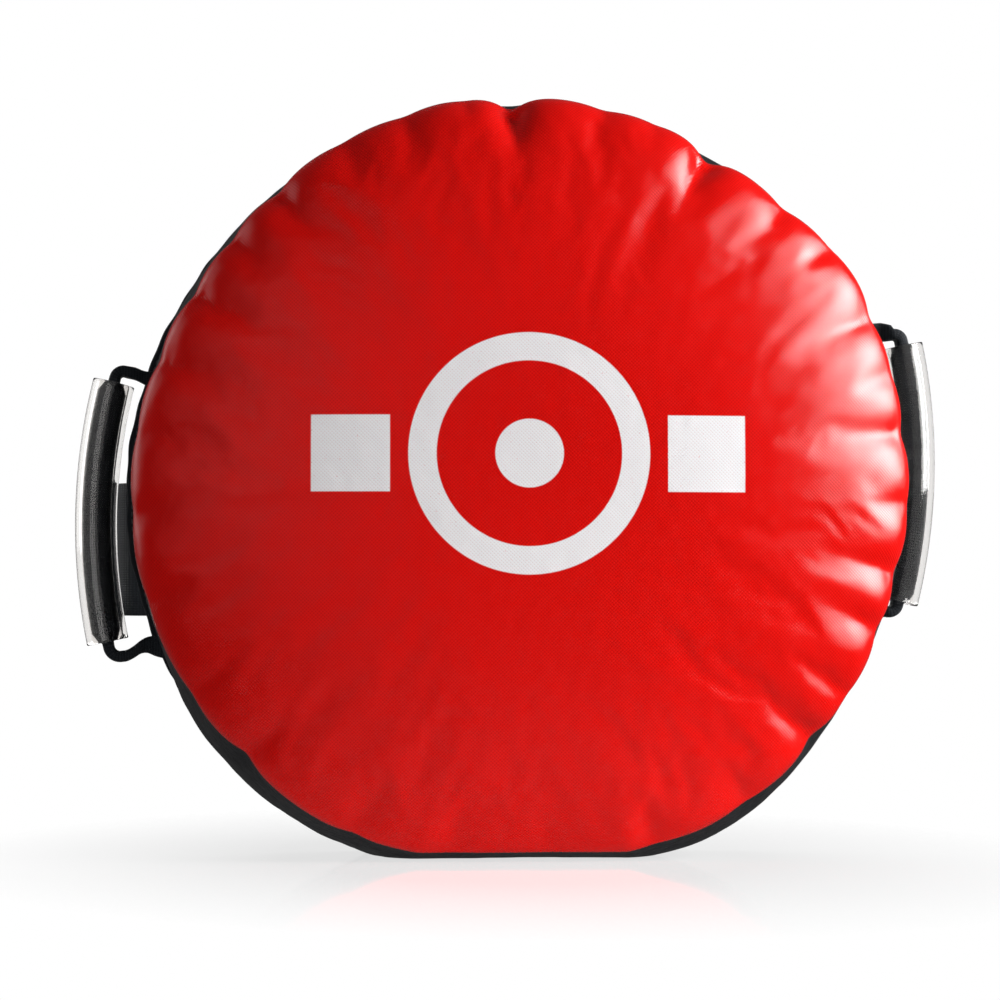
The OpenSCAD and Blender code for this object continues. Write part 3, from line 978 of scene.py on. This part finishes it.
webbing_loop(
    "right",
    (2.7, 4.2, 94, ((203.5, 81.2, 90, 12), (200.5, 80.8, 90.5, 9), (198.6, 80.2, 91, 6), (197, 74, 91, 5),
                    (195, 67, 91, 4.2), (192, 63, 90.5, 3.6), (187, 62, 89.5, 3), (181, 61, 88, 2.8))),
    (2.2, 4.5, -92, ((200, -65.6, -59.2, 12), (196, -67.5, -59.4, 8), (191, -70.5, -58, 4.5),
                     (187, -72, -57, 3.4), (181, -73, -56, 2.8))))
webbing_loop(
    "left",
    (3.0, 6.0, 100, ((200, 82.6, 88.9, 13), (196.5, 80.4, 87.2, 12), (193, 77.6, 85, 10),
                     (189.5, 75.8, 84.6, 6.5), (185, 75, 86.5, 4), (179, 74, 88, 2.8))),
    (2.7, 4.5, -92, ((200, -66.1, -59.6, 13), (196, -65.4, -58.6, 12), (192, -63.8, -56.6, 9),
                     (188, -63.4, -54.5, 6), (184, -65, -53, 3.6), (180, -66, -52, 2.8))))

# ---------------------------------------------------------------- back strap
strap_web = webbing_material("Strap webbing", 1.7 * MM, 1.1, 0.38)
loop_fur = loop_material()
hook_pile = hook_material()
strap_mid = (strap_low.z + strap_high.z) / 2
strap_tall = strap_high.z - strap_low.z
loop_low, loop_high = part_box("loop_pad")
_, flap_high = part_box("strap_flap")
hook_low, hook_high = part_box("hook_pad")
HALF = 1.5 * MM
STRAP_BEND = 16 * MM
STRAP_LAP = 45 * MM


def arch_points(sign, bulge_x, end_y):
    """Middle line of one half of the strap: sewn run, round bulge and long arch, as the CAD has it."""
    r = STRAP_BEND
    sewn = REAR_FACE + 0.1 * MM + HALF
    over = STRAP_LAP
    rise = end_y - sewn - 2 * r
    turn = 2 * (math.degrees(math.atan((bulge_x - over) / rise)) - 45)
    arch = r + rise / (1 - math.sin(math.radians(turn)))
    pts = [(x, sewn) for x in np.linspace(140 * MM, bulge_x, 8)[:-1]]
    pts += [(bulge_x + r * math.cos(math.radians(a)), sewn + r + r * math.sin(math.radians(a)))
            for a in np.linspace(-90, turn, 16)[:-1]]
    pts += [(over + arch * math.cos(math.radians(a)), end_y - arch + arch * math.sin(math.radians(a)))
            for a in np.linspace(turn, 90, 18)[:-1]]
    pts += [(x, end_y) for x in np.linspace(over, -over, 10)]
    return [(sign * x, y) for x, y in pts]


def strap_piece(name, points, steps):
    """A flat strip of strap along a path, a little curled at its edges, with softened corners."""
    line = smooth_path(points, steps)
    path = [Vector((x, y, strap_mid)) for x, y in line]
    ups = []
    for i in range(len(path)):
        t = path[min(i + 1, len(path) - 1)] - path[max(i - 1, 0)]
        ups.append(Vector((t.y, -t.x, 0)))
    across = np.linspace(-1, 1, 15)
    verts, uvs = [], []
    run = 0.0
    shape = [(c, 1) for c in across] + [(c, -1) for c in across[::-1]]
    for i, p in enumerate(path):
        if i:
            run += (p - path[i - 1]).length
        up = ups[i].normalized()
        for c, side_of in shape:
            curl = 0.5 * MM * math.sin(run * 60 + 2 * c) * (0.3 if i < 12 else 1)
            edge = 1 - 0.35 * max(0, abs(c) - 0.9) / 0.1
            wave = 0.35 * MM * math.sin(run * 95 + 1.7)
            verts.append(p + up * (side_of * HALF * edge + (curl * abs(c) ** 3 * 0.4))
                         + Vector((0, 0, c * strap_tall / 2 * 0.995 + wave * 0.3)))
            uvs.append((run, c * strap_tall / 2 + (0.2 if side_of < 0 else 0)))
    n = len(shape)
    faces = band_faces(len(path), n, turned=True)
    faces.append([j for j in range(n)])
    faces.append([(len(path) - 1) * n + j for j in range(n - 1, -1, -1)])
    obj = make_object(name, verts, faces, uvs)
    face_outward(obj)
    bevel = obj.modifiers.new("Edge", "BEVEL")
    bevel.width = 0.5 * MM
    bevel.segments = 2
    bevel.limit_method = "ANGLE"
    apply_modifiers(obj)
    obj.data.polygons.foreach_set("use_smooth", [True] * len(obj.data.polygons))
    obj.data.materials.append(strap_web)
    return obj


left_y = strap_high.y - HALF
flap_y = flap_high.y - HALF
left_reach = -strap_low.x - HALF - STRAP_BEND
right_reach = root_high.x - HALF - STRAP_BEND
left_line = arch_points(-1, left_reach, left_y)
right_line = arch_points(1, right_reach, flap_y)
left_piece = strap_piece("left_strap_band", left_line, 170)
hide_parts("left_strap")
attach(left_piece, "pad")
right_piece = strap_piece("right_strap_band", right_line, 170)
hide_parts("right_strap_root", "strap_flap")
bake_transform(right_piece)


def patch(name, low, high, material, body, node):
    """A thin pad with rounded corners and a soft rim."""
    w, h = high.x - low.x, high.z - low.z
    corner = 5 * MM
    outline_pts = []
    for cx, cz, a0 in ((w / 2 - corner, h / 2 - corner, 0), (-w / 2 + corner, h / 2 - corner, 90),
                       (-w / 2 + corner, -h / 2 + corner, 180), (w / 2 - corner, -h / 2 + corner, 270)):
        for k in range(7):
            a = math.radians(a0 + 15 * k)
            outline_pts.append((cx + corner * math.cos(a), cz + corner * math.sin(a)))
    mx, mz = (low.x + high.x) / 2, (low.z + high.z) / 2
    verts, uvs = [], []
    layers = ((low.y, 0.985), (low.y + 0.25 * MM, 1), (high.y - 0.25 * MM, 1), (high.y, 0.985))
    n = len(outline_pts)
    for y, s in layers:
        for x, z in outline_pts:
            verts.append((mx + x * s, y, mz + z * s))
            uvs.append((x, z))
    faces = band_faces(len(layers), n, turned=True)
    faces.append([j for j in range(n)])
    faces.append([3 * n + j for j in range(n - 1, -1, -1)])
    obj = make_object(name, verts, faces, uvs, smooth=False)
    face_outward(obj)
    obj.data.materials.append(material)
    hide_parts(node)
    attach(obj, body)
    return obj


patch("loop_half", loop_low, loop_high, loop_fur, "pad", "loop_pad")
patch("hook_half", hook_low, hook_high, hook_pile, "flap", "hook_pad")


def stitch_run(points, normal, pitch=3.6 * MM):
    """Stitch places along straight runs between points."""
    found = []
    for a, b in zip(points, points[1:]):
        a, b = Vector(a), Vector(b)
        n = max(1, int((b - a).length / pitch))
        for i in range(n):
            found.append((a + (b - a) * ((i + 0.5) / n), b - a, Vector(normal)))
    return found


def boxed_cross(x0, x1, z0, z1, y, normal):
    c = [(x0, y, z0), (x1, y, z0), (x1, y, z1), (x0, y, z1), (x0, y, z0)]
    return stitch_run(c, normal) + stitch_run([c[0], c[2]], normal) + stitch_run([c[1], c[3]], normal)


sewn_back = REAR_FACE + 0.1 * MM + 2 * HALF
z0, z1 = strap_low.z + 5 * MM, strap_high.z - 5 * MM
places = boxed_cross(-left_reach + 3 * MM, -146 * MM, z0, z1, sewn_back, (0, 1, 0))
places += boxed_cross(146 * MM, right_reach - 1 * MM, z0, z1, sewn_back, (0, 1, 0))
strap_stitches = stitch_mesh("strap_stitches", places, 2.9 * MM, 0.4 * MM, thread)
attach(strap_stitches, "pad")
flap_back = flap_high.y
rim_run = [(hook_low.x + 2 * MM, flap_back, z0), (hook_high.x - 2 * MM, flap_back, z0),
           (hook_high.x - 2 * MM, flap_back, z1), (hook_low.x + 2 * MM, flap_back, z1),
           (hook_low.x + 2 * MM, flap_back, z0)]
flap_stitches = stitch_mesh("flap_stitches", stitch_run(rim_run, (0, 1, 0)), 2.9 * MM, 0.4 * MM, thread)
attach(flap_stitches, "flap")

# ---------------------------------------------------------------- floor, light and camera
floor_mat = Mat("Pale floor")
where = floor_mat.object_coords()
grain = floor_mat.noise(where, 3, 2)
floor_colour = floor_mat.mix(grain, (0.33, 0.33, 0.33), (0.35, 0.35, 0.35))
floor_mat.bsdf.inputs["Specular IOR Level"].default_value = 0.5
floor_mat.finish(floor_colour, floor_mat.span(grain, 0.3, 0.7, 0.05, 0.07))
floor_x, floor_y, _ = floor_mat.split(where)
floor_y = floor_mat.math("MULTIPLY", floor_y, 0.5)
floor_far = floor_mat.math("SQRT", floor_mat.math("ADD", floor_mat.math("MULTIPLY", floor_x, floor_x),
                                                  floor_mat.math("MULTIPLY", floor_y, floor_y)))
floor_mat.put(floor_mat.bsdf.inputs["Alpha"], floor_mat.span(floor_far, 0.12, 0.30, 1, 0))
floor_mat.bsdf.inputs["Emission Color"].default_value = (1, 1, 1, 1)
floor_mat.bsdf.inputs["Emission Strength"].default_value = 0.68
floor = make_object("floor", [(-3, -3, 0), (3, -3, 0), (3, 3, 0), (-3, 3, 0)], [(0, 1, 2, 3)], smooth=False)
floor.data.materials.append(floor_mat.m)
floor.visible_glossy = False

world = bpy.data.worlds.new("Studio")
bpy.context.scene.world = world
world.use_nodes = True
sky = world.node_tree
sky.nodes.clear()
sky_out = sky.nodes.new("ShaderNodeOutputWorld")
sky_light = sky.nodes.new("ShaderNodeBackground")
sky_back = sky.nodes.new("ShaderNodeBackground")
sky_mix = sky.nodes.new("ShaderNodeMixShader")
sky_path = sky.nodes.new("ShaderNodeLightPath")
sky_where = sky.nodes.new("ShaderNodeTexCoord")
sky_split = sky.nodes.new("ShaderNodeSeparateXYZ")
sky_ramp = sky.nodes.new("ShaderNodeValToRGB")
sky_range = sky.nodes.new("ShaderNodeMapRange")
sky.links.new(sky_where.outputs["Generated"], sky_split.inputs[0])
sky.links.new(sky_split.outputs[1], sky_range.inputs["Value"])
sky_range.inputs["From Min"].default_value = -1
sky_range.inputs["From Max"].default_value = 1
sky.links.new(sky_range.outputs[0], sky_ramp.inputs[0])
stops = sky_ramp.color_ramp.elements
stops[0].position, stops[0].color = 0.25, (0.018, 0.018, 0.019, 1)
stops[1].position, stops[1].color = 0.9, (0.07, 0.07, 0.07, 1)
middle_stop = stops.new(0.55)
middle_stop.color = (0.045, 0.045, 0.047, 1)
sky.links.new(sky_ramp.outputs[0], sky_light.inputs[0])
sky_back.inputs[0].default_value = (1, 1, 1, 1)


def sky_math(operation, first, second):
    n = sky.nodes.new("ShaderNodeMath")
    n.operation = operation
    for socket, value in zip(n.inputs, (first, second)):
        if isinstance(value, float):
            socket.default_value = value
        else:
            sky.links.new(value, socket)
    return n.outputs[0]


# white only to what the camera sees directly or through a clear film
direct = sky_math("LESS_THAN", sky_path.outputs["Diffuse Depth"], 0.5)
through = sky_math("MULTIPLY", sky_path.outputs["Is Transmission Ray"], direct)
sky.links.new(sky_math("MAXIMUM", sky_path.outputs["Is Camera Ray"], through), sky_mix.inputs[0])
sky.links.new(sky_light.outputs[0], sky_mix.inputs[1])
sky.links.new(sky_back.outputs[0], sky_mix.inputs[2])
sky.links.new(sky_mix.outputs[0], sky_out.inputs[0])


def soft_light(name, place, target, size, power, colour=(1, 1, 1), tall=None):
    data = bpy.data.lights.new(name, "AREA")
    data.shape = "RECTANGLE"
    data.size = size
    data.size_y = tall or size
    data.energy = power
    data.color = colour
    obj = bpy.data.objects.new(name, data)
    bpy.context.scene.collection.objects.link(obj)
    obj.location = place
    obj.rotation_euler = (Vector(target) - Vector(place)).to_track_quat("-Z", "Y").to_euler()
    return obj


soft_light("key", (1.42, -0.54, 0.66), (0, 0, 0.2), 1.05, 55, tall=1.0)
fill = soft_light("fill", (-1.1, -1.9, 0.5), (0, 0, 0.2), 1.4, 15)
fill.visible_glossy = False
rear_light = soft_light("rear", (-0.35, 1.75, 1.4), (0, 0, 0.2), 1.6, 42)
rear_light.visible_glossy = False
soft_light("left", (-1.7, 0.62, 0.7), (0, 0, 0.2), 1.2, 6)

scene = bpy.context.scene
camera_data = bpy.data.cameras.new("camera")
camera = bpy.data.objects.new("camera", camera_data)
scene.collection.objects.link(camera)
scene.camera = camera
azimuth, elevation = math.radians(-4.1), math.radians(-1.7)
aim = Vector((-0.008, 0, 0.183))
back = Vector((math.sin(azimuth) * math.cos(elevation), -math.cos(azimuth) * math.cos(elevation),
               math.sin(elevation)))
distance = 2.2
camera.location = aim + back * distance
camera.rotation_euler = (-back).to_track_quat("-Z", "Y").to_euler()
camera_data.lens = 153.6
camera_data.sensor_width = 36
scene.view_settings.view_transform = "Standard"
